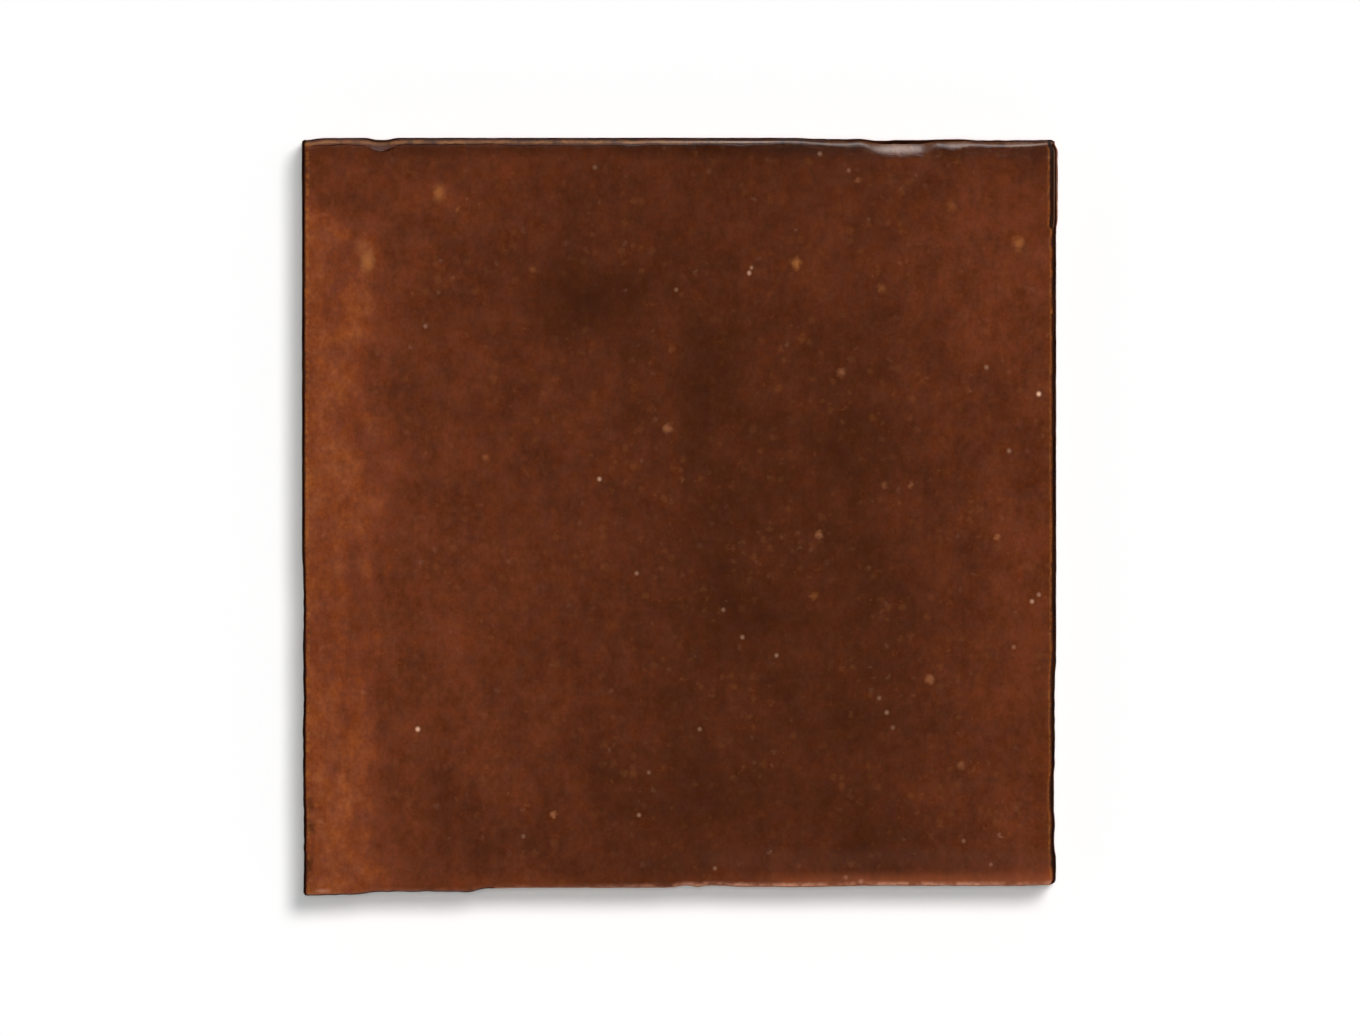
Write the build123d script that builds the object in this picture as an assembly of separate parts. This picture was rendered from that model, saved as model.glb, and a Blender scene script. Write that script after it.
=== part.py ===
from build123d import *
from collections import namedtuple
import math
import os

# A hand-made glazed wall tile, lying on its flat back with the glazed face up.
# X runs along its lower edge, Y up the tile as it hangs on a wall, Z out of the wall.
# The origin is on the back, in the middle of the tile.

# Driving dimensions, in millimetres
tile_length = 100.0  # X, over the widest points
tile_height = 100.0  # Y, over the widest points
tile_thickness = 10.0  # back to the crest of the face
arris_radius = 0.6  # glaze rolled over the edge of the face
back_edge = 0.4  # worn edge round the back

# Corners, seen from the front
corner_top_left = 0.3
corner_top_right = 0.3
corner_bottom_right = 0.8
corner_bottom_left = 0.4

# The clay was cut with the knife leaning, so the face stands back from the foot
lean_top = 0.20
lean_right = 0.50
lean_bottom = 0.05
lean_left = 0.40

# The face is a low cushion with slow waves, inside a plain rim
plain_rim = 0.3  # between the rolled edge and the cushion, where the side cuts deepest
cushion_height = 0.30  # crest of the face above its rim
cushion_squareness = 6  # power of the fall to the rim: higher is flatter with fuller corners
wave_height = 0.10  # half the height from trough to crest
wave_length = 46.0  # crest to crest
wave_cross_length = 60.0  # crest to crest, across the first
wave_turn = 25.0  # degrees, heading of the waves from X

# How far each hand-cut side wanders inside the straight outline, going clockwise
# as seen from the front. A station is a share of the side's length with a depth in
# millimetres, and the first and last depths of a side hold at its corners. The side
# runs straight through each station and eases from one depth to the next between.
top_wander = [
    (0.00, 0.30),
    (0.032, 0.00),
    (0.088, 0.00),
    (0.100, 0.26),
    (0.115, 0.26),
    (0.127, 0.00),
    (0.655, 0.00),
    (0.675, 0.13),
    (0.735, 0.10),
    (0.758, 0.36),
    (0.770, 0.36),
    (0.785, 0.28),
    (0.815, 0.28),
    (0.840, 0.19),
    (0.872, 0.13),
    (0.890, 0.27),
    (1.00, 0.27),
]
right_wander = [
    (0.00, 0.40),
    (0.020, 0.00),
    (0.110, 0.02),
    (0.123, 0.21),
    (0.694, 0.21),
    (0.706, 0.36),
    (0.830, 0.32),
    (0.845, 0.48),
    (0.885, 0.46),
    (0.898, 0.32),
    (0.908, 0.32),
    (0.920, 0.43),
    (0.938, 0.42),
    (0.950, 0.22),
    (1.00, 0.26),
]
bottom_wander = [
    (0.00, 1.40),
    (0.040, 1.26),
    (0.250, 1.27),
    (0.330, 1.12),
    (0.430, 1.18),
    (0.446, 1.31),
    (0.466, 1.31),
    (0.476, 1.07),
    (0.486, 1.32),
    (0.496, 1.29),
    (0.509, 1.03),
    (0.720, 1.02),
    (0.755, 0.92),
    (0.780, 0.42),
    (0.800, 0.50),
    (0.895, 0.50),
    (0.932, 0.10),
    (1.00, 0.00),
]
left_wander = [
    (0.00, 0.18),
    (0.080, 0.20),
    (0.210, 0.07),
    (0.260, 0.17),
    (0.330, 0.09),
    (0.410, 0.14),
    (0.455, 0.00),
    (1.00, 0.00),
]

half_length = tile_length / 2
half_height = tile_height / 2
rim_level = tile_thickness - cushion_height

# A side starts at a corner of the straight outline, which has the given round
Side = namedtuple("Side", "corner round heading reach lean wander")
right, up = Vector(1, 0), Vector(0, 1)
top_left = Vector(-half_length, half_height)
top_right = Vector(half_length, half_height)
sides = [
    Side(top_left, corner_top_left, right, tile_length, lean_top, top_wander),
    Side(top_right, corner_top_right, -up, tile_height, lean_right, right_wander),
    Side(-top_left, corner_bottom_right, -right, tile_length, lean_bottom, bottom_wander),
    Side(-top_right, corner_bottom_left, up, tile_height, lean_left, left_wander),
]


def side_curve(index, rise, inset):
    """One hand-cut side between its corner rounds, at a share of the rim's level."""
    side = sides[index]
    before = sides[index - 1]
    after = sides[(index + 1) % len(sides)]
    inward = Vector(side.heading.Y, -side.heading.X)
    stand_back = side.lean * rise + inset
    start = side.round + before.wander[-1][1] + before.lean * rise + inset
    end = side.reach - after.round - after.wander[0][1] - after.lean * rise - inset
    stations = [(start, side.wander[0][1])]
    stations += [(share * side.reach, depth) for share, depth in side.wander[1:-1]]
    stations += [(end, side.wander[-1][1])]
    points = []
    for along, depth in stations:
        points.append(side.corner + side.heading * along + inward * (depth + stand_back))
    return Spline(points, tangents=[side.heading] * len(points))


def outline(level, inset=0.0):
    """The tile's outline at a height above its back, drawn in by an inset."""
    rise = level / rim_level
    curves = [side_curve(index, rise, inset) for index in range(len(sides))]
    rounds = []
    for index, curve in enumerate(curves):
        following = curves[(index + 1) % len(curves)]
        rounds.append(TangentArc(curve @ 1, following @ 0, tangent=curve % 1))
    return Pos(0, 0, level) * make_face(curves + rounds)


def cut_sides():
    """The clay body from its worn back edge up to where the glaze rolls over."""
    sections = [outline(0, back_edge), outline(back_edge), outline(rim_level - arris_radius)]
    return loft(sections, ruled=True)


def rolled_edge():
    """A quarter round all along the outline, from the sides up to the rim."""
    steps = 5
    sections = []
    for step in range(steps + 1):
        turn = math.radians(90 * step / steps)
        drop = arris_radius * (1 - math.sin(turn))
        sections.append(outline(rim_level - drop, arris_radius * (1 - math.cos(turn))))
    return loft(sections)


# The cushion starts inside the rolled edge wherever the sides cut deepest
deepest_cut = max(depth + side.lean for side in sides for share, depth in side.wander)
cushion_margin = deepest_cut + arris_radius + plain_rim
cushion_half_length = half_length - cushion_margin
cushion_half_height = half_height - cushion_margin


def face_level(x, y):
    """Height of the glazed face above the back: the rim's level round the cushion."""
    turn = math.radians(wave_turn)
    along_wave = x * math.cos(turn) + y * math.sin(turn)
    cross_wave = y * math.cos(turn) - x * math.sin(turn)
    swell = math.cos(2 * math.pi * along_wave / wave_length)
    swell *= math.cos(2 * math.pi * cross_wave / wave_cross_length)
    crest = cushion_height - wave_height * (1 - swell)
    fall = abs(x / cushion_half_length) ** cushion_squareness
    fall += abs(y / cushion_half_height) ** cushion_squareness
    return rim_level + crest * (1 - fall)


def cushion():
    """The low wavy crown of the face, with its edges sunk below the rim."""
    steps = 24
    spread = 1.006
    shares = [spread * (2 * step / steps - 1) for step in range(steps + 1)]
    rows = []
    for v in shares:
        y = v * cushion_half_height
        columns = [u * cushion_half_length for u in shares]
        rows.append([Vector(x, y, face_level(x, y)) for x in columns])
    crown = Face.make_surface_from_array_of_points(rows, tol=0.002, min_deg=3, max_deg=5)
    return extrude(crown, amount=rim_level / 2, dir=(0, 0, -1))


def tile():
    return cut_sides() + rolled_edge() + cushion()


os.makedirs("parts", exist_ok=True)
export_step(tile(), "parts/tile.step")
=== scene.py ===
import math

import bpy
import numpy as np
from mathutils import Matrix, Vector, noise
from mathutils.bvhtree import BVHTree


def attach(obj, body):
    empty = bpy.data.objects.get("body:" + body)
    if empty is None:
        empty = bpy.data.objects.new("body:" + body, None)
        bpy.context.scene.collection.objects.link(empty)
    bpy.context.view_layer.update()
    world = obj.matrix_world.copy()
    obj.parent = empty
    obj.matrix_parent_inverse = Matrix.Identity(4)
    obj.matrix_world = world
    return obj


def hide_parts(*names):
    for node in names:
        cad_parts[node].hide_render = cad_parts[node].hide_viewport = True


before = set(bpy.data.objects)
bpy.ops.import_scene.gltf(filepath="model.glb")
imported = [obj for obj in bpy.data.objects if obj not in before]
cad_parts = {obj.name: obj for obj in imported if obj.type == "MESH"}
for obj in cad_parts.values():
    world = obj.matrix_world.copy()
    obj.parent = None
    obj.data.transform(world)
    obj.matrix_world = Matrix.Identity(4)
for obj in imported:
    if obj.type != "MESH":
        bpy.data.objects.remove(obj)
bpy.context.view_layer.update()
scene = bpy.context.scene
mm = 0.001


def srgb(red, green, blue):
    def linear(value):
        share = value / 255
        return share / 12.92 if share <= 0.04045 else ((share + 0.055) / 1.055) ** 2.4
    return (linear(red), linear(green), linear(blue), 1.0)


def ease(low, high, value):
    share = np.clip((value - low) / (high - low), 0.0, 1.0)
    return share * share * (3 - 2 * share)


# Tile mesh: a fine skin over the CAD tile, with the glaze's relief. Lengths in mm.
tileSkin = {
    "straightCells": 214,      # cells along a side, between the corners
    "cornerCells": 20,         # cells round a corner, even
    "crowding": 0.10,          # how much closer the cells lie near the corners
    "cornerInset": 1.7,        # where the corner's cells fan out from, in from the sides
    "rimLevel": 9.7,           # top of the rolled edge
    "cadFoot": 9.0,            # just under the CAD's rolled edge
    "backEdge": 0.4,           # worn edge round the back
    "rollRows": 8,
    "sideRows": 19,
    "faceSmoothing": 60,       # passes that take the facets out of the cushion
    "swell": (0.040, 13.0),    # height and length of the glaze's slow swells
    "ripple": (0.012, 4.5),    # height and length of the ripples on them
    "sideRough": 0.02,         # knife drag on the sides, inward only
    "sidePits": 0.04,          # grain torn out of the sides
    "clayStep": 0.08,          # glaze runs stand proud of the bare clay by this
    "runLip": 0.03,            # and gather in a bead at their lower ends
    "leastRoll": 0.2,          # narrowest that the rolled edge gets
    "wobble": 0.03,            # small wander of the whole outline
    "chips": (0.22, 2.6),      # depth and length of chips in the back edge
    "nicks": (0.10, 0.9),      # and of the smaller nicks
    "backDents": 0.10,         # depth of the hollows in the back
}

# Rolled edge of each side: width, drop, how much the width varies, rows that keep the gloss
edgeRolls = {
    "top": (1.00, 0.65, 0.40, 5),
    "right": (0.50, 0.50, 0.12, 3),
    "bottom": (0.45, 0.50, 0.15, 4),
    "left": (0.50, 0.50, 0.15, 3),
}

# Beads where glaze gathered on an edge: side, middle, half length, more width, more drop, flatness
edgeBeads = [
    ("top", 29.1, 4.2, 1.10, 0.25, 0.45),
    ("top", 36.4, 1.9, 0.35, 0.12, 0.35),
    ("top", 43.5, 3.4, 0.15, 0.08, 0.30),
    ("top", 20.5, 3.0, 0.10, 0.08, 0.20),
    ("top", -39.2, 1.9, 0.45, 0.22, 0.10),
    ("top", -14.8, 1.4, 0.25, 0.10, 0.00),
    ("top", -6.6, 1.6, 0.30, 0.12, 0.00),
    ("bottom", 21.0, 4.0, 0.30, 0.10, 0.00),
]

# Places along the sides where the outline is scalloped: side, from, to, depth
scallops = [
    ("left", -50.0, -5.0, 0.17),
    ("right", -45.0, -20.0, 0.20),
    ("top", 18.0, 50.0, 0.10),
    ("bottom", -50.0, 50.0, 0.10),
]

# How far the glaze ran down each side, and how much that varies
glazeRuns = {
    "top": (5.6, 1.6),
    "right": (6.4, 1.5),
    "bottom": (-1.2, 0.8),
    "left": (6.6, 1.4),
}

# Stretches where it ran further or less far: side, from, to, depth
runStretches = [
    ("bottom", -50.0, -24.0, 1.3),
    ("right", 38.0, 50.0, 3.0),
]

sideNames = ("bottom", "right", "top", "left")  # going round from the lower left corner
sideHeadings = ((1, 0), (0, 1), (-1, 0), (0, -1))


def noiseAt(x, y, z):
    return noise.noise(Vector((x, y, z)))


def planNoise(points, lengthX, lengthY, seed):
    values = [noiseAt(x / lengthX, y / lengthY, seed) for x, y in points.reshape(-1, 2)]
    return np.array(values).reshape(points.shape[:-1])


def castIn(tree, start, heading, level):
    # where a level ray from outside meets the CAD tile
    hit = tree.ray_cast(Vector((*start, level)) * mm, Vector((*heading, 0)))
    return hit[0].xy / mm


def coreCorners(tree, shape):
    # an inner square, set in from the CAD's sides as they run beside each corner
    beside, far, inset = 47.0, 60.0, shape["cornerInset"]
    corners = []
    for signX, signY in ((-1, -1), (1, -1), (1, 1), (-1, 1)):
        edgeX = castIn(tree, (signX * far, signY * beside), (-signX, 0), shape["cadFoot"]).x
        edgeY = castIn(tree, (signX * beside, signY * far), (0, -signY), shape["cadFoot"]).y
        corners.append((edgeX - signX * inset, edgeY - signY * inset))
    return np.array(corners)


class Rim:
    # one entry for each column of the skin, all the way round
    def __init__(self, tree, shape):
        corners = coreCorners(tree, shape)
        half = shape["cornerCells"] // 2
        straight = shape["straightCells"]
        base, out, side, along = [], [], [], []
        for number, heading in enumerate(np.array(sideHeadings)):
            outward = np.array((heading[1], -heading[0]))
            start, end = corners[number], corners[(number + 1) % 4]
            for step in range(straight + 2 * half):
                share = min(max((step - half) / straight, 0.0), 1.0)
                share -= shape["crowding"] * math.sin(2 * math.pi * share) / (2 * math.pi)
                fan = min(step - half, 0) + max(step - half - straight, 0)
                base.append(start + (end - start) * share)
                out.append(outward + heading * fan / half)
                side.append(sideNames[number])
                target = base[-1] + out[-1] * shape["cornerInset"]
                along.append(target[0] if heading[0] else target[1])
        self.base, self.out = np.array(base), np.array(out)
        self.side, self.along = np.array(side), np.array(along)
        self.count = len(base)

    def at(self, reach):
        return self.base + self.out * reach[:, None]


def smoothRound(values, passes):
    for _ in range(passes):
        values = (np.roll(values, 1) + 2 * values + np.roll(values, -1)) / 4
    return values


def cadOutline(tree, rim, level):
    far = 8.0
    starts = rim.at(np.full(rim.count, far))
    reach = np.zeros(rim.count)
    for column, (start, out) in enumerate(zip(starts, rim.out)):
        met = castIn(tree, start, -out, level)
        reach[column] = far - math.dist(met, start) / math.hypot(*out)
    return smoothRound(reach, 1)


def coons(edge, cells):
    # fills a square grid between the four runs of the rim
    bottom = edge[0:cells + 1]
    right = edge[cells:2 * cells + 1]
    top = edge[2 * cells:3 * cells + 1][::-1]
    left = np.concatenate([edge[3 * cells:], edge[:1]])[::-1]
    u = (bottom[:, 0] - bottom[0, 0]) / (bottom[-1, 0] - bottom[0, 0])
    v = (left[:, 1] - left[0, 1]) / (left[-1, 1] - left[0, 1])
    u3, v3 = u[None, :, None], v[:, None, None]
    grid = (1 - v3) * bottom[None] + v3 * top[None] + (1 - u3) * left[:, None] + u3 * right[:, None]
    grid -= (1 - u3) * (1 - v3) * bottom[0] + u3 * (1 - v3) * bottom[-1]
    grid -= (1 - u3) * v3 * top[0] + u3 * v3 * top[-1]
    return grid


def gridRing(cells):
    # row and column of each outer point of a grid, in the rim's order
    ring = [(0, i) for i in range(cells)] + [(i, cells) for i in range(cells)]
    return ring + [(cells, cells - i) for i in range(cells)] + [(cells - i, 0) for i in range(cells)]


def sideGaps(points, rimPoints, rim):
    # how far points lie inside each side's edge, in the plan
    gaps = {}
    for name in sideNames:
        mine = rimPoints[rim.side == name]
        axis = 0 if name in ("top", "bottom") else 1
        order = np.argsort(mine[:, axis])
        edge = np.interp(points[..., axis], mine[order, axis], mine[order, 1 - axis])
        gap = edge - points[..., 1 - axis]
        gaps[name] = gap if name in ("top", "right") else -gap
    return gaps


def edgeShape(rim):
    # width, drop and flatness of the rolled edge, its wobble and the depth of the runs, by column
    around = rim.at(np.full(rim.count, tileSkin["cornerInset"]))
    slow, quick = planNoise(around, 3.2, 3.2, 4.7), planNoise(around, 1.3, 1.3, 9.1)
    widths, drops, flats, runs = np.zeros((4, rim.count))
    wobble = tileSkin["wobble"] * (1 + planNoise(around, 1.1, 1.1, 3.3))
    for name in sideNames:
        mine = rim.side == name
        width, drop, varies, _ = edgeRolls[name]
        widths[mine] = (width * (1 + varies * (slow + 0.6 * quick)))[mine]
        drops[mine] = drop
        depth, spread = glazeRuns[name]
        depths = np.full(rim.count, depth)
        for side, start, end, stretch in runStretches:
            if side == name:
                within = ease(start - 1, start + 1, rim.along) * (1 - ease(end - 1, end + 1, rim.along))
                depths += (stretch - depth) * within
        ragged = planNoise(around, 7.0, 7.0, 8.3) + 0.6 * planNoise(around, 2.1, 2.1, 1.9)
        runs[mine] = (depths + spread * ragged)[mine]
    for name, middle, halfLength, width, drop, flat in edgeBeads:
        near = np.exp(-((rim.along - middle) / halfLength) ** 4) * (rim.side == name)
        widths += width * near * (1 + 0.5 * quick)
        drops += drop * near
        flats += flat * near
    for name, start, end, depth in scallops:
        within = ease(start, start + 4, rim.along) * (1 - ease(end - 4, end, rim.along))
        bites = np.abs(planNoise(around, 1.9, 1.9, 7.9)) + 0.4 * np.abs(planNoise(around, 0.8, 0.8, 5.5))
        wobble += depth * bites * within * (rim.side == name)
    widths = smoothRound(np.maximum(widths, tileSkin["leastRoll"]), 4)
    drops, flats = smoothRound(drops, 4), smoothRound(flats, 4)
    return widths, drops, flats, smoothRound(wobble, 1), smoothRound(runs, 3)


def faceLevels(tree, plan, shape):
    # height of the face: the CAD's, freed of facets
    level = np.zeros(plan.shape[:2])
    down = Vector((0, 0, -1))
    for place in np.ndindex(level.shape):
        x, y = plan[place]
        hit = tree.ray_cast(Vector((x, y, 20)) * mm, down)
        level[place] = hit[0].z / mm
    for _ in range(shape["faceSmoothing"]):
        inner = level[:-2, 1:-1] + level[2:, 1:-1] + level[1:-1, :-2] + level[1:-1, 2:]
        level[1:-1, 1:-1] = 0.5 * level[1:-1, 1:-1] + 0.125 * inner
    return level


def buildTile(shape):
    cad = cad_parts["tile"]
    tree = BVHTree.FromPolygons([v.co for v in cad.data.vertices], [p.vertices for p in cad.data.polygons])
    rim = Rim(tree, shape)
    count = rim.count
    cells = count // 4
    rimLevel, rollRows = shape["rimLevel"], shape["rollRows"]
    low = cadOutline(tree, rim, shape["backEdge"] + 0.1)
    high = cadOutline(tree, rim, shape["cadFoot"])
    print("tile: outline read from the CAD,", count, "columns")

    # face: level from the CAD, then swells and ripples that die out at the edge
    widths, drops, flats, wobble, runs = edgeShape(rim)
    rimPoints = rim.at(high - widths - 0.3 * wobble)
    plan = coons(rimPoints, cells)
    level = faceLevels(tree, plan, shape)
    gaps = sideGaps(plan, rimPoints, rim)
    nearest = np.minimum.reduce([gaps[name] for name in sideNames])
    for (height, length), seed in ((shape["swell"], 1.3), (shape["ripple"], 6.1)):
        level += height * (planNoise(plan, length, length, seed) - 0.9) * ease(0.0, 3.0, nearest)
    ring = gridRing(cells)
    ringLevel = np.array([level[place] for place in ring])
    print("tile: face has", level.size, "points")

    # every point of the skin, row by row: face, roll, side, worn edge, back
    points = [np.dstack([plan, level]).reshape(-1, 3)]
    rows = [np.array([r * (cells + 1) + c for r, c in ring])]
    runGap = [np.full(level.size, 9.0)]

    def addRow(reach, height):
        start = sum(len(part) for part in points)
        height = np.broadcast_to(height, count)
        points.append(np.column_stack([rim.at(reach), height]))
        rows.append(np.arange(start, start + count))
        runGap.append(height - (rimLevel - runs))

    footLevel = rimLevel - drops
    for step in range(1, rollRows + 1):
        turn = math.pi / 2 * (1 - step / rollRows)
        across, up = math.cos(turn) ** (1 + flats), math.sin(turn) ** (1 + flats)
        reach = high - widths * (1 - across) - wobble * (0.3 + 0.7 * across)
        addRow(reach, ringLevel - (ringLevel - footLevel) * (1 - up))
    around = rim.at(high)
    for step in range(1, shape["sideRows"] + 1):
        share = step / shape["sideRows"]
        height = footLevel + (shape["backEdge"] - footLevel) * share
        drag = np.array([noiseAt(x / 9, y / 9, z / 0.9) for (x, y), z in zip(around, height)])
        torn = np.array([noiseAt(x / 1.1, y / 1.1, z / 1.1 + 20) for (x, y), z in zip(around, height)])
        aboveEnd = height - (rimLevel - runs)
        bare = 1 - ease(-0.4, 0.2, aboveEnd)
        lip = ease(-0.3, 0.3, aboveEnd) * (1 - ease(0.5, 1.6, aboveEnd))
        recess = shape["sideRough"] * (1 + drag) + shape["clayStep"] * bare + shape["runLip"] * (1 - lip)
        recess += shape["sidePits"] * bare * np.clip(2.2 * torn, 0, 1.5)
        addRow(high + (low - high) * share - wobble - min(1.0, 5 * share) * recess, height)
    chipped = np.zeros(count)
    for (depth, length), seed in ((shape["chips"], 12.4), (shape["nicks"], 4.4)):
        chipped += depth * np.clip(planNoise(around, length, length, seed), 0, 1)
    foot = low - wobble - shape["clayStep"] - shape["sideRough"] - chipped
    addRow(foot - 0.4 * shape["backEdge"], 0.35 * shape["backEdge"])
    addRow(foot - shape["backEdge"], 0.0)

    # back: a coarser grid of half the cells
    backCells = cells // 2
    backPlan = coons(rim.at(foot - shape["backEdge"] - 0.4)[::2], backCells)
    dents = planNoise(backPlan, 6.0, 6.0, 15.0) + 0.5 * planNoise(backPlan, 1.7, 1.7, 2.0)
    backLevel = shape["backDents"] * np.clip(dents, 0, 1)
    backStart = sum(len(part) for part in points)
    points.append(np.dstack([backPlan, backLevel]).reshape(-1, 3))
    runGap.append(np.full(backLevel.size, -9.0))
    points = np.vstack(points)

    faces = []
    faceIndex = np.arange((cells + 1) ** 2).reshape(cells + 1, cells + 1)
    for r, c in np.ndindex(cells, cells):
        faces.append((faceIndex[r, c], faceIndex[r, c + 1], faceIndex[r + 1, c + 1], faceIndex[r + 1, c]))
    faceCount = len(faces)
    for upper, lower in zip(rows, rows[1:]):
        for j in range(count):
            k = (j + 1) % count
            faces.append((upper[j], lower[j], lower[k], upper[k]))
    ringCount = len(faces)
    outer = rows[-1]
    backIndex = backStart + np.arange((backCells + 1) ** 2).reshape(backCells + 1, backCells + 1)
    inner = [backIndex[place] for place in gridRing(backCells)]
    for j in range(len(inner)):
        a, b, c = outer[2 * j], outer[2 * j + 1], outer[(2 * j + 2) % count]
        p, q = inner[j], inner[(j + 1) % len(inner)]
        faces += [(a, p, b), (b, p, q), (b, q, c)]
    for r, c in np.ndindex(backCells, backCells):
        faces.append((backIndex[r, c], backIndex[r + 1, c], backIndex[r + 1, c + 1], backIndex[r, c + 1]))

    mesh = bpy.data.meshes.new("glazedTile")
    mesh.from_pydata((points * mm).tolist(), [], [tuple(int(i) for i in f) for f in faces])
    mesh.shade_smooth()
    piece = bpy.data.objects.new("glazedTile", mesh)
    scene.collection.objects.link(piece)

    # fields that the finishes read: gaps to the sides in mm, and the glaze's tone
    allGaps = sideGaps(points[:, :2], rim.at(high), rim)
    fields = {"from" + name.capitalize(): allGaps[name] for name in sideNames}
    fields["runGap"] = np.concatenate(runGap)
    fields["glazeTone"] = glazeTones(points[:, :2], allGaps["left"])
    for name, values in fields.items():
        field = mesh.attributes.new(name, "FLOAT", "POINT")
        field.data.foreach_set("value", values.astype(np.float32))

    # gloss on the face and the upper rows of its roll; clay and dull runs on the rest
    slots = np.ones(len(faces), dtype=np.int32)
    slots[:faceCount] = 0
    glossy = np.array([edgeRolls[name][3] for name in rim.side])
    for row in range(rollRows):
        start = faceCount + row * count
        slots[start:start + count] = row >= glossy
    mesh.polygons.foreach_set("material_index", slots)
    mapForBake(mesh, points, rows, rim, faceCount, ringCount)
    print("tile: skin has", len(faces), "faces")
    return piece


# Places of the face, the sides and the back on the bake map, as shares of it
bakeMap = {
    "face": (0.008, 0.008, 0.842),
    "sides": (0.008, 0.862, 0.842, 0.030, 0.0345),   # left, low, length, height, step
    "back": (0.862, 0.008, 0.130, 0.842),
}


def mapForBake(mesh, points, rows, rim, faceCount, ringCount):
    layer = mesh.uv_layers.new(name="OFBake")
    loopVertex = np.zeros(len(mesh.loops), dtype=np.int64)
    mesh.loops.foreach_get("vertex_index", loopVertex)
    sizes = np.zeros(len(mesh.polygons), dtype=np.int64)
    mesh.polygons.foreach_get("loop_total", sizes)
    loopFace = np.repeat(np.arange(len(sizes)), sizes)
    uv = np.zeros((len(mesh.loops), 2))
    count, rollRows = rim.count, tileSkin["rollRows"]
    cells = count // 4
    firstSide = faceCount + rollRows * count

    # face and roll: plan view, with the roll spread outward to its true width
    spread = points[:, :2].copy()
    for row in rows[1:rollRows + 1]:
        fall = np.clip(tileSkin["rimLevel"] - points[row, 2], 0, None)
        spread[row] += rim.out * (0.6 * fall)[:, None]
    left, low, side = bakeMap["face"]
    widest = np.abs(spread[:rows[rollRows][-1]]).max() + 0.3
    plan = (spread + widest) / (2 * widest) * side + np.array([left, low])
    onFace = loopFace < firstSide
    uv[onFace] = plan[loopVertex[onFace]]

    # sides: one strip each
    left, low, length, height, step = bakeMap["sides"]
    onSide = (loopFace >= firstSide) & (loopFace < ringCount)
    strip = (loopFace - firstSide) % count // cells
    rowOf = np.zeros(len(points), dtype=np.int64)
    columnOf = np.zeros(len(points), dtype=np.int64)
    for number, row in enumerate(rows):
        rowOf[row] = number
        columnOf[row] = np.arange(count)
    along = columnOf[loopVertex] - strip * cells
    along = np.where(along < 0, cells, along)
    deep = (rowOf[loopVertex] - rollRows) / (len(rows) - 1 - rollRows)
    uv[onSide, 0] = (left + along / cells * length)[onSide]
    uv[onSide, 1] = (low + strip * step + (1 - deep) * height)[onSide]

    # back: plan view, narrowed
    left, low, width, tall = bakeMap["back"]
    onBack = loopFace >= ringCount
    widest = np.abs(points[:, :2]).max()
    back = (points[:, :2] + widest) / (2 * widest)
    uv[onBack, 0] = (left + (1 - back[loopVertex, 0]) * width)[onBack]
    uv[onBack, 1] = (low + back[loopVertex, 1] * tall)[onBack]
    layer.data.foreach_set("uv", uv.astype(np.float32).ravel())


# Slow tones of the glaze, from 0 for black-brown to 1 for ochre, places in mm from the middle
glazeDrift = {
    "across": [(-50, 0.72), (-47, 0.76), (-43.5, 0.71), (-40.5, 0.59), (-37, 0.51), (-33, 0.465),
               (-15, 0.40), (2, 0.30), (25, 0.285), (34, 0.355), (45, 0.45), (50, 0.47)],
    "bandFrom": 0.475,         # tones above this belong to the thin band on the left
    "wedge": (36.0, 46.0),     # the band dies out at the upper left, on a slant
    "strays": 9.0,             # how far the drift's outlines wander
    "streaks": 5.5,            # how far the band's streaks wander
    "lift": -0.025,            # lightens or darkens it all
}

# Clouds in the glaze: x, y, reach across, reach up, how much lighter or darker
glazeClouds = [
    (-12, 28, 8, 5, -0.11), (-17, 31, 16, 9, -0.11), (22, 35, 22, 11, 0.10), (45, 34, 8, 13, 0.09),
    (-33, -38, 6, 8, -0.08), (-22, -44, 12, 6, -0.08), (-5, -38, 8, 8, -0.06), (10, -47, 14, 4, 0.05),
    (-45, -15, 4, 6, -0.06), (45, 6, 6, 5, -0.05), (22.7, 9.1, 5, 5, -0.10), (6.4, -10, 4, 7, -0.10),
    (26, -12, 4, 7, -0.06), (4, 20, 3, 7, -0.06), (8, 1, 4, 6, -0.05), (2.7, -37, 5, 5, -0.04),
    (25.5, -38, 6, 5, -0.05), (-25, -27, 9, 6, 0.05), (-30, -13, 4, 4, 0.05), (38, 1, 7, 4, 0.05),
    (-31.8, 41.8, 2.2, 2.2, 0.10), (37.5, 41, 5, 4, 0.06), (47, 46, 5, 4, -0.12), (46, -6, 4, 5, 0.03),
    (-43, -33, 4, 9, 0.06), (-47, 45, 4, 5, 0.08), (-38, 46, 9, 5, -0.05),
]


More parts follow.
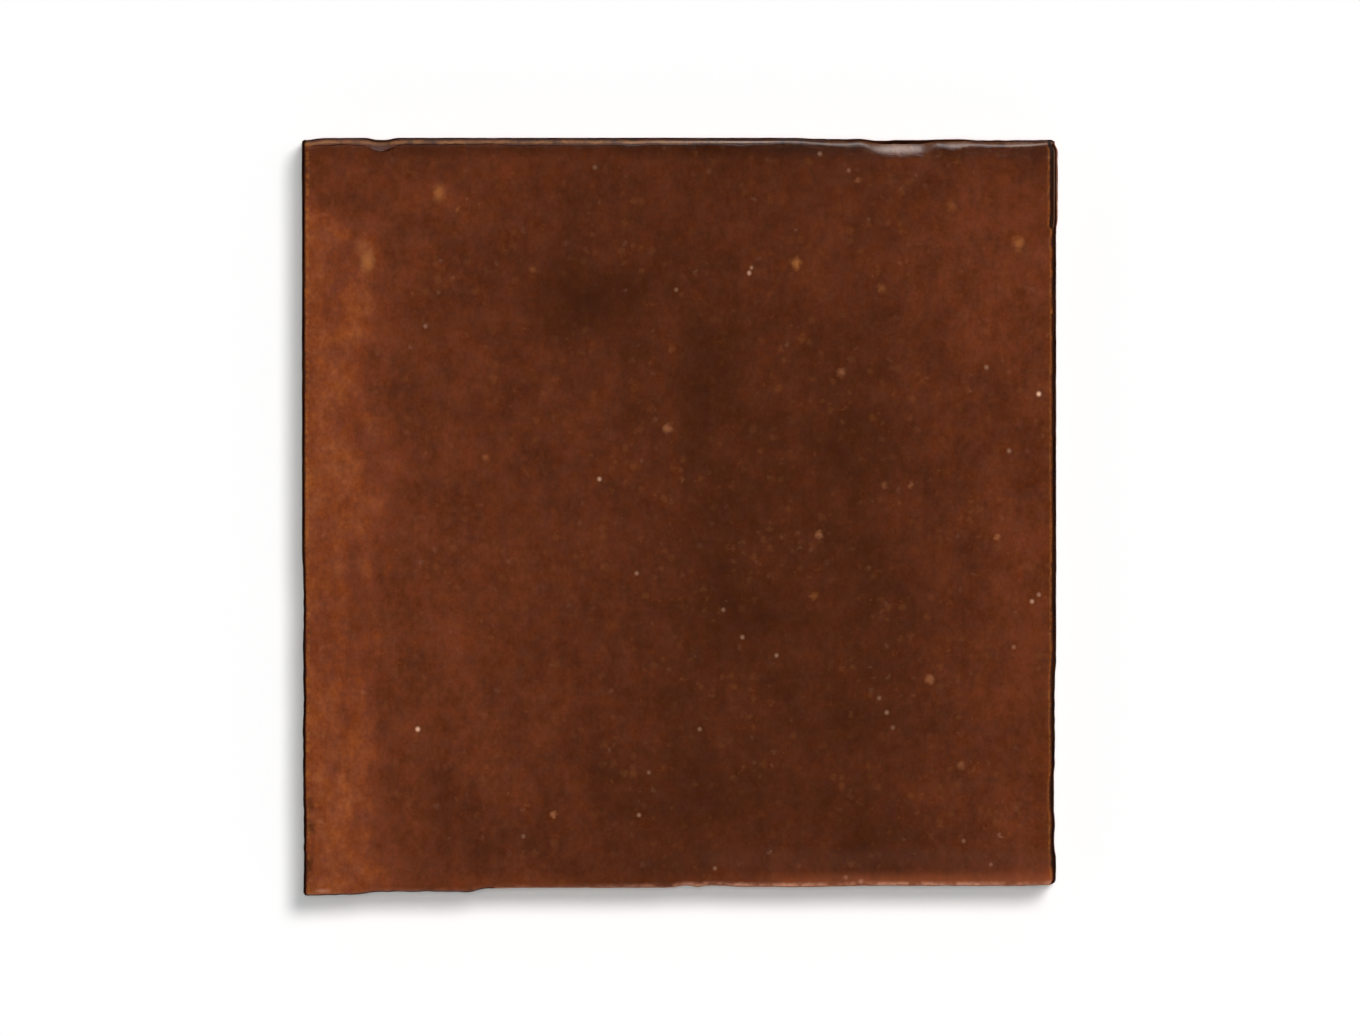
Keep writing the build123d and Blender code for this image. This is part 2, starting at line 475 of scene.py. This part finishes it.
def glazeTones(points, fromLeft):
    drift = glazeDrift
    x, y = points[:, 0], points[:, 1]
    slowX, quickX = planNoise(points, 13.0, 15.0, 2.7), planNoise(points, 4.0, 5.5, 8.8)
    slowY, quickY = planNoise(points, 14.0, 13.0, 5.9), planNoise(points, 4.5, 4.5, 7.1)
    strayX = drift["strays"] * (slowX + 0.45 * quickX)
    strayY = drift["strays"] * (slowY + 0.45 * quickY)
    streaky = planNoise(points, 2.9, 12.0, 3.4) + 0.7 * planNoise(points, 1.7, 3.4, 6.6)
    inBand = 1 - ease(8.0, 20.0, fromLeft)
    stations, tones = zip(*drift["across"])
    strayBand = drift["streaks"] * streaky * inBand * ease(0.5, 5.0, fromLeft)
    tone = np.interp(x + 0.35 * strayX * (1 - inBand) + strayBand, stations, tones)
    wedge = 1 - ease(*drift["wedge"], y + 0.93 * fromLeft + strayY + 5 * streaky)
    excess = np.clip(tone - drift["bandFrom"], 0, None) * (x < 0)
    tone -= excess * (1 - wedge)
    for cloudX, cloudY, reachX, reachY, strength in glazeClouds:
        away = ((x + 0.5 * strayX - cloudX) / reachX) ** 2 + ((y + 0.5 * strayY - cloudY) / reachY) ** 2
        tone += strength * np.exp(-away)
    return tone + drift["lift"]


class Bench:
    # short ways to place and join shader nodes in one tree
    def __init__(self, tree):
        self.tree = tree

    def put(self, socket, value):
        if isinstance(value, bpy.types.NodeSocket):
            self.tree.links.new(value, socket)
        else:
            socket.default_value = value

    def node(self, kind, inputs=None, **settings):
        made = self.tree.nodes.new(kind)
        for name, value in settings.items():
            setattr(made, name, value)
        for name, value in (inputs or {}).items():
            self.put(made.inputs[name], value)
        return made

    def math(self, operation, first, second=0.0):
        made = self.node("ShaderNodeMath", operation=operation)
        self.put(made.inputs[0], first)
        self.put(made.inputs[1], second)
        return made.outputs[0]

    def total(self, *values):
        result = values[0]
        for value in values[1:]:
            result = self.math("ADD", result, value)
        return result

    def product(self, *values):
        result = values[0]
        for value in values[1:]:
            result = self.math("MULTIPLY", result, value)
        return result

    def vector(self, operation, first, second):
        made = self.node("ShaderNodeVectorMath", operation=operation)
        self.put(made.inputs[0], first)
        self.put(made.inputs["Scale" if operation == "SCALE" else 1], second)
        return made.outputs["Value" if operation == "LENGTH" else "Vector"]

    def span(self, value, low, high, start=0.0, end=1.0):
        # eases from start to end as value goes from low to high
        made = self.node("ShaderNodeMapRange", interpolation_type="SMOOTHSTEP")
        given = (value, low, high, start, end)
        for name, part in zip(("Value", "From Min", "From Max", "To Min", "To Max"), given):
            self.put(made.inputs[name], part)
        return made.outputs["Result"]

    def strip(self, value, inner, outer, soft):
        # 1 between two distances, easing to 0 on both sides
        rising = self.span(value, inner - soft, inner + soft)
        return self.product(rising, self.span(value, outer + soft, outer - soft))

    def noise(self, place, scale, detail=2.0, roughness=0.5, dimensions="3D"):
        inputs = {"Vector": place, "Scale": scale, "Detail": detail, "Roughness": roughness}
        return self.node("ShaderNodeTexNoise", inputs, noise_dimensions=dimensions).outputs["Fac"]

    def mix(self, factor, first, second):
        made = self.node("ShaderNodeMix", data_type="RGBA")
        self.put(made.inputs[0], factor)
        self.put(made.inputs[6], first)
        self.put(made.inputs[7], second)
        return made.outputs[2]

    def ramp(self, value, stops):
        made = self.node("ShaderNodeValToRGB", {"Fac": value})
        elements = made.color_ramp.elements
        while len(elements) < len(stops):
            elements.new(0.5)
        for element, (position, colour) in zip(elements, stops):
            element.position = position
            element.color = srgb(*colour)
        return made.outputs["Color"]

    def field(self, name):
        return self.node("ShaderNodeAttribute", attribute_name=name).outputs["Fac"]

    def group(self, name, **inputs):
        made = self.node("ShaderNodeGroup", node_tree=bpy.data.node_groups[name])
        for socket, value in inputs.items():
            self.put(made.inputs[socket], value)
        return made.outputs[0]

    def marks(self, place, spots):
        # the strongest of some oval marks: x, y, width, height, strength
        level, anyDepth = tileSkin["rimLevel"], 99.0
        shown = 0.0
        for x, y, width, height, strength in spots:
            reach = (width, height, anyDepth)
            mask = self.group("softMark", Place=place, Centre=(x, y, level), Reach=reach)
            shown = self.math("MAXIMUM", shown, self.product(mask, strength))
        return shown

    def placeInMm(self):
        coordinates = self.node("ShaderNodeTexCoord").outputs["Object"]
        return self.vector("SCALE", coordinates, 1 / mm)


def startGroup(name, inputs, output):
    tree = bpy.data.node_groups.new(name, "ShaderNodeTree")
    for socket, kind in inputs.items():
        tree.interface.new_socket(socket, in_out="INPUT", socket_type=kind)
    tree.interface.new_socket(output, in_out="OUTPUT", socket_type="NodeSocketFloat")
    bench = Bench(tree)
    given = bench.node("NodeGroupInput").outputs
    result = bench.node("NodeGroupOutput").inputs[0]
    return bench, given, result


def makeGroups():
    vector, number = "NodeSocketVector", "NodeSocketFloat"

    # one soft oval mark: 1 in its middle, 0 past its reach
    inputs = {"Place": vector, "Centre": vector, "Reach": vector}
    bench, given, result = startGroup("softMark", inputs, "Mask")
    away = bench.vector("SUBTRACT", given["Place"], given["Centre"])
    away = bench.vector("DIVIDE", away, given["Reach"])
    away = bench.vector("LENGTH", away, (0, 0, 0))
    bench.put(result, bench.span(away, 1.0, 0.0))

    # scattered grains: some cells of a grid hold a round grain each
    inputs = {"Place": vector, "Spacing": number, "Size": number, "Share": number}
    bench, given, result = startGroup("grains", inputs, "Mask")
    scale = bench.math("DIVIDE", 1.0, given["Spacing"])
    cell = bench.node("ShaderNodeTexVoronoi", {"Vector": given["Place"], "Scale": scale})
    size = bench.math("DIVIDE", given["Size"], given["Spacing"])
    colour = bench.node("ShaderNodeSeparateColor", {"Color": cell.outputs["Color"]})
    size = bench.product(size, bench.total(colour.outputs["Green"], 0.35))
    inside = bench.span(cell.outputs["Distance"], size, bench.product(size, 0.3))
    chosen = bench.math("LESS_THAN", colour.outputs["Red"], given["Share"])
    strength = bench.total(bench.product(colour.outputs["Blue"], 0.8), 0.2)
    bench.put(result, bench.product(inside, chosen, strength))

    # cloudy mottling about zero, at one size with finer parts
    inputs = {"Place": vector, "Size": number, "Detail": number}
    bench, given, result = startGroup("mottle", inputs, "Value")
    scale = bench.math("DIVIDE", 1.0, given["Size"])
    cloud = bench.noise(given["Place"], scale, given["Detail"], 0.6)
    bench.put(result, bench.product(bench.math("SUBTRACT", cloud, 0.5), 2.0))
    print("finishes: node groups made")


def startMaterial(name):
    material = bpy.data.materials.new(name)
    material.use_nodes = True
    bench = Bench(material.node_tree)
    return material, bench, material.node_tree.nodes["Principled BSDF"]


# Amber glaze. Colours as seen on a screen, places in mm from the tile's middle.
amberGlaze = {
    "tones": [(0.00, (50, 23, 11)), (0.18, (68, 32, 15)), (0.28, (78, 37, 19)), (0.40, (90, 43, 22)),
              (0.54, (104, 50, 27)), (0.64, (114, 55, 29)), (0.76, (126, 64, 32)), (0.90, (140, 74, 38)),
              (1.00, (150, 84, 44))],
    "roughness": 0.05,
    "pale": (232, 183, 148),      # pinholes that show the pale slip
    "rosy": (212, 142, 92),       # soft spots over grains of the clay
    "ochre": (176, 112, 58),      # grains of unmelted colour
    "burntEdgeShade": (26, 7, 1),          # glaze burnt thin on the edges, darkened further as painted shade of the edges
    "stain": (56, 25, 10),        # stains that it left beside them
    "beadHighlight": (166, 130, 112),      # painted highlight on the beads of the top edge, where the glaze is thickest
    "goldenLipHighlight": (138, 90, 44),      # thin glaze on the lip of the top edge, with a painted highlight along it
    "fringe": (156, 96, 40),      # and beside the burnt edges
    "bare": (204, 146, 118),      # clay showing through the thinnest glaze
    "glow": (152, 82, 50),        # clay glowing through beside it
    "ledge": (118, 76, 52),       # clay outside the glaze at the upper right
    "paintedReflection": (96, 60, 46),        # painted reflection: a pale band along the lower edge
    "mottling": 0.84,             # strength of the mottling, and of the fainter marks
    "faintSpecks": 0.13,
    "warmSpecks": 0.12,
    "hairMarks": 0.07,
    "lip": (0.42, 0.76, 0.13),    # strips along the edges: from, to, softness in mm
    "lipGaps": (0.25, 1.0, 0.2),
    "fringeLeft": (0.45, 0.85, 0.20),
    "fringeRight": (0.50, 0.72, 0.14),
    "reflectionStrip": (2.5, 4.8, 0.9),
    "ledgeFrom": (37.6, 38.4),    # where the ledge starts up the right side, in mm
    "ledgeWidth": 0.45,
    "peel": 0.005,                # mm, unevenness of the gloss
}

# Pinholes that stand out: x, y, width, height, strength
paleSpecks = [
    (47.2, 16.1, 0.46, 0.50, 1.00), (9.1, 32.0, 0.42, 0.50, 0.50), (9.4, 32.7, 0.36, 0.42, 0.30),
    (-10.6, 4.9, 0.44, 0.46, 0.48), (-34.5, -28.0, 0.46, 0.50, 0.90), (-5.7, -7.5, 0.44, 0.46, 0.25),
    (-0.5, 29.8, 0.42, 0.46, 0.17), (40.3, 19.6, 0.46, 0.50, 0.22), (43.3, 8.6, 0.46, 0.50, 0.22),
    (5.7, -12.3, 0.42, 0.46, 0.20), (8.2, -15.9, 0.44, 0.46, 0.24), (12.7, -18.3, 0.44, 0.46, 0.24),
    (46.3, -11.2, 0.42, 0.46, 0.48), (47.2, -10.3, 0.42, 0.46, 0.25), (43.9, -17.2, 0.42, 0.46, 0.18),
    (26.2, -23.9, 0.44, 0.46, 0.17), (27.2, -25.8, 0.44, 0.46, 0.24), (28.0, -27.8, 0.46, 0.46, 0.14),
    (-5.4, -39.3, 0.42, 0.44, 0.27), (-4.1, -33.7, 0.40, 0.42, 0.17), (2.6, -28.0, 0.44, 0.46, 0.19),
    (22.2, 45.5, 0.42, 0.46, 0.16), (18.4, 47.7, 0.44, 0.46, 0.19), (-11.2, 45.9, 0.48, 0.50, 0.12),
    (-33.5, 25.0, 0.42, 0.46, 0.19), (-20.6, -42.1, 0.44, 0.46, 0.15), (40.9, -45.8, 0.40, 0.44, 0.15),
    (37.3, -42.7, 0.42, 0.46, 0.16), (4.6, -46.3, 0.40, 0.44, 0.20),
]

# Soft spots, in the same form
rosySpots = [
    (-1.7, 11.5, 0.85, 1.00, 0.24), (18.3, -2.4, 0.75, 0.85, 0.28), (30.4, 4.1, 0.60, 0.65, 0.20),
    (27.0, 4.1, 0.65, 0.65, 0.13), (32.9, -21.4, 0.90, 1.00, 0.24), (36.9, -32.7, 0.78, 0.80, 0.20),
    (41.7, -2.8, 0.70, 0.75, 0.24), (-16.7, -39.3, 0.62, 0.66, 0.27), (21.2, 18.9, 0.85, 0.95, 0.24),
    (23.4, 44.2, 0.60, 0.66, 0.18), (-25.5, 7.7, 0.70, 0.70, 0.17),
]

ochreSpecks = [
    (15.3, 33.3, 0.85, 1.20, 0.55), (44.6, 35.9, 1.20, 1.30, 0.45), (-31.7, 42.5, 1.05, 1.70, 0.42),
    (-29.2, 40.5, 0.50, 0.55, 0.28), (-19.4, 32.5, 0.65, 0.70, 0.22), (26.5, 30.0, 0.80, 0.90, 0.25),
    (35.7, 40.8, 1.00, 1.00, 0.20), (17.6, -10.5, 0.90, 0.70, 0.22), (-41.1, 33.6, 1.50, 2.40, 0.55),
    (-42.0, 35.6, 1.30, 1.60, 0.20),
]

# Burnt stains beside the edges, in the same form
burntSpots = [
    (-48.6, -37.8, 0.90, 1.60, 0.65), (-48.5, -40.9, 1.10, 1.40, 0.70), (-48.8, -45.8, 0.90, 2.20, 0.70),
    (-40.2, 30.2, 1.80, 1.30, 0.30), (34.4, 48.6, 0.80, 0.45, 0.8), (42.3, 48.8, 0.90, 0.50, 0.8),
]

# Painted highlights on the beads of the top edge, in the same form
beadHighlightSpots = [
    (28.7, 48.4, 5.40, 1.20, 0.55), (37.0, 48.9, 2.40, 0.70, 0.40), (44.8, 48.9, 3.20, 0.60, 0.35),
]

# Bare spots along the lower edge, in the same form
bareSpots = [
    (18.5, -48.5, 0.90, 0.55, 0.55), (21.8, -47.5, 0.45, 0.50, 0.25), (23.8, -48.1, 0.55, 0.60, 0.45),
    (25.8, -48.5, 0.90, 0.40, 0.45), (8.5, -48.5, 1.60, 0.45, 0.30), (13.5, -48.6, 1.20, 0.40, 0.40),
    (36.0, -48.6, 1.40, 0.45, 0.30), (-47.0, -49.3, 1.60, 0.50, 0.40),
]


def amberGlazeMaterial(look):
    material, bench, shader = startMaterial("amberGlaze")
    place = bench.placeInMm()
    fromTop, fromRight = bench.field("fromTop"), bench.field("fromRight")
    fromBottom, fromLeft = bench.field("fromBottom"), bench.field("fromLeft")
    across = bench.node("ShaderNodeSeparateXYZ", {"Vector": place}).outputs
    rightHalf = bench.span(across["X"], -12.0, 18.0)
    tone = bench.field("glazeTone")

    # mottling of every size, stronger where the glaze is thin
    stretched = bench.vector("MULTIPLY", place, (1.0, 0.80, 1.0))
    mottled = bench.math("SUBTRACT", bench.noise(stretched, 1 / 8, 4.8, 0.95, "2D"), 0.5)
    thinness = bench.total(bench.product(tone, 1.3), 0.35)
    tone = bench.total(tone, bench.product(mottled, thinness, look["mottling"]))

    # edges: glaze pools under the top, glows at the right and along the bottom, and a painted reflection
    # lies in a band near the bottom
    beaded = bench.group("mottle", Place=place, Size=0.6, Detail=2.0)
    patchy = bench.group("mottle", Place=place, Size=1.7, Detail=2.0)
    wander = bench.total(bench.product(patchy, 0.20), bench.product(beaded, 0.16))
    ledge = bench.span(across["Y"], *look["ledgeFrom"])
    nearTop, nearBottom = bench.total(fromTop, wander), bench.total(fromBottom, wander)
    nearLeft = bench.total(fromLeft, wander)
    nearRight = bench.total(fromRight, wander, bench.product(ledge, -look["ledgeWidth"]))
    pooled = bench.span(nearTop, 3.2, 1.2, 0.0, -0.17)
    pooled = bench.product(pooled, bench.span(across["X"], -48.0, -36.0, 0.35, 1.0))
    lowGlow = bench.product(bench.span(nearBottom, 2.9, 1.2), bench.span(rightHalf, 0.0, 1.0, 0.03, 0.08))
    colour = bench.ramp(bench.total(tone, pooled, lowGlow), look["tones"])
    # painted reflection: a pale band a few mm in from the lower edge, stronger on the right
    paintedReflection = bench.strip(nearBottom, *look["reflectionStrip"])
    paintedReflection = bench.product(paintedReflection, bench.span(rightHalf, 0.0, 1.0, 0.04, 0.16))
    colour = bench.mix(paintedReflection, colour, srgb(*look["paintedReflection"]))

    # drift of the hue, from redder to more orange
    ruddy = bench.group("mottle", Place=place, Size=2.4, Detail=3.0)
    colour = bench.node("ShaderNodeHueSaturation", {
        "Hue": bench.total(bench.product(ruddy, 0.004), 0.4995),
        "Saturation": bench.span(patchy, -0.6, 0.6, 0.97, 1.03),
        "Color": colour,
    }).outputs["Color"]

    # specks: many faint ones with frayed outlines, hair marks, and those that stand out
    fray = bench.node("ShaderNodeTexNoise", {"Vector": place, "Scale": 1.6, "Detail": 1.0}).outputs["Color"]
    fray = bench.vector("SCALE", bench.vector("SUBTRACT", fray, (0.5, 0.5, 0.5)), 0.9)
    frayed = bench.vector("ADD", place, fray)
    crowded = bench.span(bench.noise(place, 1 / 11, 2.0, 0.5, "2D"), 0.35, 0.65, 0.35, 1.0)
    faint = bench.group("grains", Place=frayed, Spacing=1.9, Size=0.42, Share=0.45)
    colour = bench.mix(bench.product(faint, crowded, look["faintSpecks"]), colour, srgb(*look["pale"]))
    warm = bench.group("grains", Place=frayed, Spacing=1.3, Size=0.60, Share=0.5)
    colour = bench.mix(bench.product(warm, crowded, look["warmSpecks"]), colour, srgb(*look["ochre"]))
    hairs = bench.math("ABSOLUTE", bench.math("SUBTRACT", bench.noise(place, 0.5, 1.0, 0.5, "2D"), 0.5))
    hairs = bench.product(bench.span(hairs, 0.03, 0.0), bench.span(patchy, 0.15, 0.45), crowded)
    colour = bench.mix(bench.product(hairs, look["hairMarks"]), colour, srgb(*look["rosy"]))
    colour = bench.mix(bench.marks(frayed, ochreSpecks), colour, srgb(*look["ochre"]))
    colour = bench.mix(bench.marks(frayed, rosySpots), colour, srgb(*look["rosy"]))
    pinholes = bench.marks(place, paleSpecks)
    colour = bench.mix(pinholes, colour, srgb(*look["pale"]))

    # golden lip at the top with a painted highlight, burnt glaze and painted edge shade on three edges,
    # bare along the fourth
    drawnOut = bench.vector("MULTIPLY", place, (1.0, 0.3, 1.0))
    breaks = bench.group("mottle", Place=drawnOut, Size=2.4, Detail=3.0)
    gaps = bench.strip(nearTop, *look["lipGaps"])
    gaps = bench.product(gaps, bench.span(breaks, 0.0, -0.45, 0.0, 0.65))
    colour = bench.mix(gaps, colour, srgb(*look["burntEdgeShade"]))
    # painted highlight: a golden line where the lip catches the light, strongest on the left
    lip = bench.product(bench.strip(nearTop, *look["lip"]), bench.span(breaks, -0.35, 0.25, 0.10, 1.0))
    lip = bench.product(lip, bench.span(rightHalf, 0.0, 1.0, 0.95, 0.25))
    colour = bench.mix(lip, colour, srgb(*look["goldenLipHighlight"]))
    fringeRight = bench.strip(nearRight, *look["fringeRight"])
    fringeRight = bench.product(fringeRight, bench.span(beaded, -0.35, 0.45, 0.10, 0.65))
    fringeLeft = bench.strip(nearLeft, *look["fringeLeft"])
    fringeLeft = bench.product(fringeLeft, bench.span(beaded, -0.25, 0.45, 0.0, 0.65))
    colour = bench.mix(bench.math("MAXIMUM", fringeLeft, fringeRight), colour, srgb(*look["fringe"]))
    # dark outline on the left, right and top edges: partly glaze burnt thin, partly painted shade of the
    # edges
    burntEdgeShade = bench.math("MAXIMUM", bench.span(nearLeft, 0.42, 0.18), bench.span(nearRight, 0.50, 0.28))
    topEdgeShade = bench.product(bench.span(nearTop, 0.30, 0.10), bench.span(across["X"], 5.0, 20.0, 1.0, 0.5))
    burntEdgeShade = bench.math("MAXIMUM", burntEdgeShade, topEdgeShade)
    colour = bench.mix(bench.marks(frayed, burntSpots), colour, srgb(*look["stain"]))
    # painted highlight on the beads of the top edge
    colour = bench.mix(bench.marks(frayed, beadHighlightSpots), colour, srgb(*look["beadHighlight"]))
    colour = bench.mix(bench.product(burntEdgeShade, 0.94), colour, srgb(*look["burntEdgeShade"]))
    outside = bench.product(ledge, bench.span(fromRight, 0.42, 0.22))
    colour = bench.mix(outside, colour, srgb(*look["ledge"]))
    glow = bench.product(bench.span(nearBottom, 2.4, 0.3), bench.span(patchy, -0.6, 0.4, 0.45, 1.0))
    glow = bench.product(glow, bench.span(across["X"], 4.0, 22.0, 0.05, 0.62))
    colour = bench.mix(glow, colour, srgb(*look["glow"]))
    bare = bench.product(bench.span(nearBottom, 0.85, 0.12), bench.span(patchy, -0.3, 0.35, 0.08, 1.0))
    bare = bench.product(bare, bench.span(across["X"], -16.0, 12.0, 0.15, 1.0))
    bare = bench.math("MAXIMUM", bare, bench.marks(place, bareSpots))
    colour = bench.mix(bare, colour, srgb(*look["bare"]))

    # gloss: duller on the lip at the left and on the beads at the right, where it is uneven too
    dullLip = bench.product(bench.span(nearTop, 1.5, 1.0), bench.span(across["X"], 22.0, -20.0, 0.0, 0.45))
    beads = bench.product(bench.span(nearTop, 2.8, 2.0), bench.span(across["X"], 8.0, 18.0))
    rough = bench.total(bench.product(burntEdgeShade, 0.3), bench.product(pinholes, 0.25), dullLip)
    rough = bench.total(rough, look["roughness"], bench.product(beads, 0.22))
    peel = bench.noise(place, 0.55, 2.0, 0.5, "2D")
    lumps = bench.product(bench.group("mottle", Place=place, Size=1.3, Detail=2.0), beads, 3.0)
    height = bench.total(peel, lumps)
    bump = bench.node("ShaderNodeBump", {"Height": height, "Strength": 1.0, "Distance": look["peel"] * mm})
    bench.put(shader.inputs["Base Color"], colour)
    bench.put(shader.inputs["Roughness"], rough)
    bench.put(shader.inputs["Normal"], bump.outputs["Normal"])
    shader.inputs["IOR"].default_value = 1.5
    print("finishes: amber glaze made")
    return material


# Cut clay of the sides and back, with glaze that ran down and burnt on, its runs near black as painted
# shade of the sides
cutClay = {
    "clay": [(0.0, (112, 62, 38)), (0.45, (150, 90, 60)), (0.75, (172, 112, 78)), (1.0, (194, 138, 102))],
    "runAndSideShade": [(0.0, (20, 6, 2)), (0.35, (32, 11, 4)), (0.65, (54, 24, 10)), (1.0, (88, 44, 22))],
    "halo": (86, 42, 22),         # stained clay just under the glaze runs
    "grog": (206, 172, 140),      # pale grains in the clay
    "soot": (58, 34, 22),         # dark grains
    "roughness": 0.85,
    "runRoughness": 0.38,
    "sheen": 0.14,                # gloss at the lower ends of the runs
    "grain": 0.05,                # mm, unevenness of the clay
}


def cutClayMaterial(look):
    material, bench, shader = startMaterial("cutClay")
    place = bench.placeInMm()
    cloudy = bench.group("mottle", Place=place, Size=5.0, Detail=4.0)
    fine = bench.group("mottle", Place=place, Size=0.8, Detail=3.0)
    drag = bench.vector("MULTIPLY", place, (0.12, 0.12, 1.6))
    drag = bench.group("mottle", Place=drag, Size=1.0, Detail=3.0)
    tone = bench.total(bench.product(cloudy, 0.35), bench.product(fine, 0.22))
    tone = bench.total(tone, bench.product(drag, 0.18), 0.5)
    clay = bench.ramp(tone, look["clay"])
    grog = bench.group("grains", Place=place, Spacing=1.3, Size=0.42, Share=0.4)
    clay = bench.mix(bench.product(grog, 0.7), clay, srgb(*look["grog"]))
    apart = bench.vector("ADD", place, (7.0, 3.0, 5.0))
    soot = bench.group("grains", Place=apart, Spacing=1.9, Size=0.36, Share=0.35)
    clay = bench.mix(bench.product(soot, 0.75), clay, srgb(*look["soot"]))

    ragged = bench.total(bench.field("runGap"), bench.product(fine, 0.35))
    offBottom = bench.span(bench.field("fromBottom"), 0.5, 1.5)
    halo = bench.product(bench.span(ragged, -1.3, 0.0, 0.0, 0.75), offBottom)
    clay = bench.mix(halo, clay, srgb(*look["halo"]))
    glazed = bench.span(ragged, -0.08, 0.12)
    drawnDown = bench.vector("MULTIPLY", place, (1.0, 1.0, 0.35))
    drips = bench.group("mottle", Place=drawnDown, Size=3.2, Detail=1.5)
    gathered = bench.span(ragged, 0.2, 1.6, -0.10, 0.0)
    # the runs' near-black colour is dark glaze and also painted shade of the sides
    runTone = bench.total(bench.product(cloudy, 0.45), bench.product(drips, 0.28), gathered, 0.48)
    colour = bench.mix(glazed, clay, bench.ramp(runTone, look["runAndSideShade"]))

    rough = bench.span(glazed, 0.0, 1.0, look["roughness"], look["runRoughness"])
    height = bench.total(bench.product(fine, 0.6), bench.product(drag, 0.5), bench.product(grog, 0.5))
    height = bench.product(bench.math("SUBTRACT", height, soot), bench.span(glazed, 0.0, 1.0, 1.0, 0.25))
    bump = bench.node("ShaderNodeBump", {"Height": height, "Strength": 1.0, "Distance": look["grain"] * mm})
    bench.put(shader.inputs["Base Color"], colour)
    bench.put(shader.inputs["Roughness"], rough)
    bench.put(shader.inputs["Normal"], bump.outputs["Normal"])
    sheen = bench.product(glazed, bench.span(ragged, 3.4, 0.6, 0.0, look["sheen"]))
    sheen = bench.product(sheen, bench.span(drips, -0.4, 0.5, 0.3, 1.0))
    bench.put(shader.inputs["Coat Weight"], sheen)
    shader.inputs["Coat Roughness"].default_value = 0.25
    shader.inputs["Specular IOR Level"].default_value = 0.0
    print("finishes: cut clay made")
    return material


# Plain white floor, two soft suns, a dim sky, and a lamp that only the gloss sees
studio = {
    "floorSize": 40.0,        # m
    "floorDrop": 0.02,        # mm under the tile's back
    "floorColour": 0.97,
    "suns": [                 # strength, tint, then softness, lean and heading from X in degrees
        (2.00, (1.0, 0.956, 0.956), 17.0, 19.3, 50.0),
        (1.20, (0.93, 1.0, 1.0), 8.0, 0.0, 0.0),
    ],
    "skyOverhead": 0.01,      # kept dim, so the glaze isn't washed out
    "skyAround": 0.12,
    "lampPower": 3.4,         # W
    "lampSize": 0.42,         # m
    "lampAway": 1.2,          # m
    "lampRise": 50.0,         # degrees above the floor
    "lampHeading": 84.0,      # degrees from X
}


def buildStudio(look):
    side = look["floorSize"] / 2
    corners = [(-side, -side, 0), (side, -side, 0), (side, side, 0), (-side, side, 0)]
    mesh = bpy.data.meshes.new("floor")
    mesh.from_pydata(corners, [], [(0, 1, 2, 3)])
    floor = bpy.data.objects.new("floor", mesh)
    floor.location.z = -look["floorDrop"] * mm
    scene.collection.objects.link(floor)
    material, _, shader = startMaterial("paleFloor")
    shade = look["floorColour"]
    shader.inputs["Base Color"].default_value = (shade, shade, shade, 1.0)
    shader.inputs["Roughness"].default_value = 1.0
    shader.inputs["Specular IOR Level"].default_value = 0.0
    mesh.materials.append(material)

    for strength, tint, softness, lean, heading in look["suns"]:
        sun = bpy.data.objects.new("sun", bpy.data.lights.new("sun", "SUN"))
        sun.data.energy = strength
        sun.data.color = tint
        sun.data.angle = math.radians(softness)
        sun.rotation_euler = (0, math.radians(lean), math.radians(heading))
        sun.visible_glossy = False
        scene.collection.objects.link(sun)

    lamp = bpy.data.objects.new("lamp", bpy.data.lights.new("lamp", "AREA"))
    lamp.data.energy = look["lampPower"]
    lamp.data.size = look["lampSize"]
    up, turn = math.radians(look["lampRise"]), math.radians(look["lampHeading"])
    towards = Vector((math.cos(up) * math.cos(turn), math.cos(up) * math.sin(turn), math.sin(up)))
    lamp.location = towards * look["lampAway"]
    lamp.rotation_euler = towards.to_track_quat("Z", "Y").to_euler()
    lamp.visible_diffuse = False
    lamp.visible_camera = False
    scene.collection.objects.link(lamp)

    world = bpy.data.worlds.new("studio")
    world.use_nodes = True
    scene.world = world
    bench = Bench(world.node_tree)
    heading = bench.node("ShaderNodeTexCoord").outputs["Generated"]
    rise = bench.node("ShaderNodeSeparateXYZ", {"Vector": heading}).outputs["Z"]
    background = world.node_tree.nodes["Background"]
    strength = bench.span(rise, 0.95, 0.70, look["skyOverhead"], look["skyAround"])
    bench.put(background.inputs["Strength"], strength)
    background.inputs["Color"].default_value = (1.0, 1.0, 1.0, 1.0)
    print("studio: floor, suns, lamp and sky made")


# The photo looks straight down on the tile, from far off
photoView = {
    "lens": 800.0,             # mm on a 36 mm frame
    "frameWidth": 178.9,       # mm of the face's plane across the picture
    "aim": (0.0, -0.22),       # mm, middle of the picture
}


def placeCamera(view, faceLevel):
    camera = bpy.data.objects.new("camera", bpy.data.cameras.new("camera"))
    camera.data.lens = view["lens"]
    camera.data.sensor_width = 36.0
    distance = view["frameWidth"] * view["lens"] / camera.data.sensor_width
    aimX, aimY = view["aim"]
    camera.location = Vector((aimX, aimY, faceLevel + distance)) * mm
    scene.collection.objects.link(camera)
    scene.camera = camera
    print("camera:", round(distance), "mm above the face")


makeGroups()
tile = buildTile(tileSkin)
tile.data.materials.append(amberGlazeMaterial(amberGlaze))
tile.data.materials.append(cutClayMaterial(cutClay))
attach(tile, "root")
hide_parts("tile")
buildStudio(studio)
placeCamera(photoView, tileSkin["rimLevel"])
scene.view_settings.view_transform = "Standard"
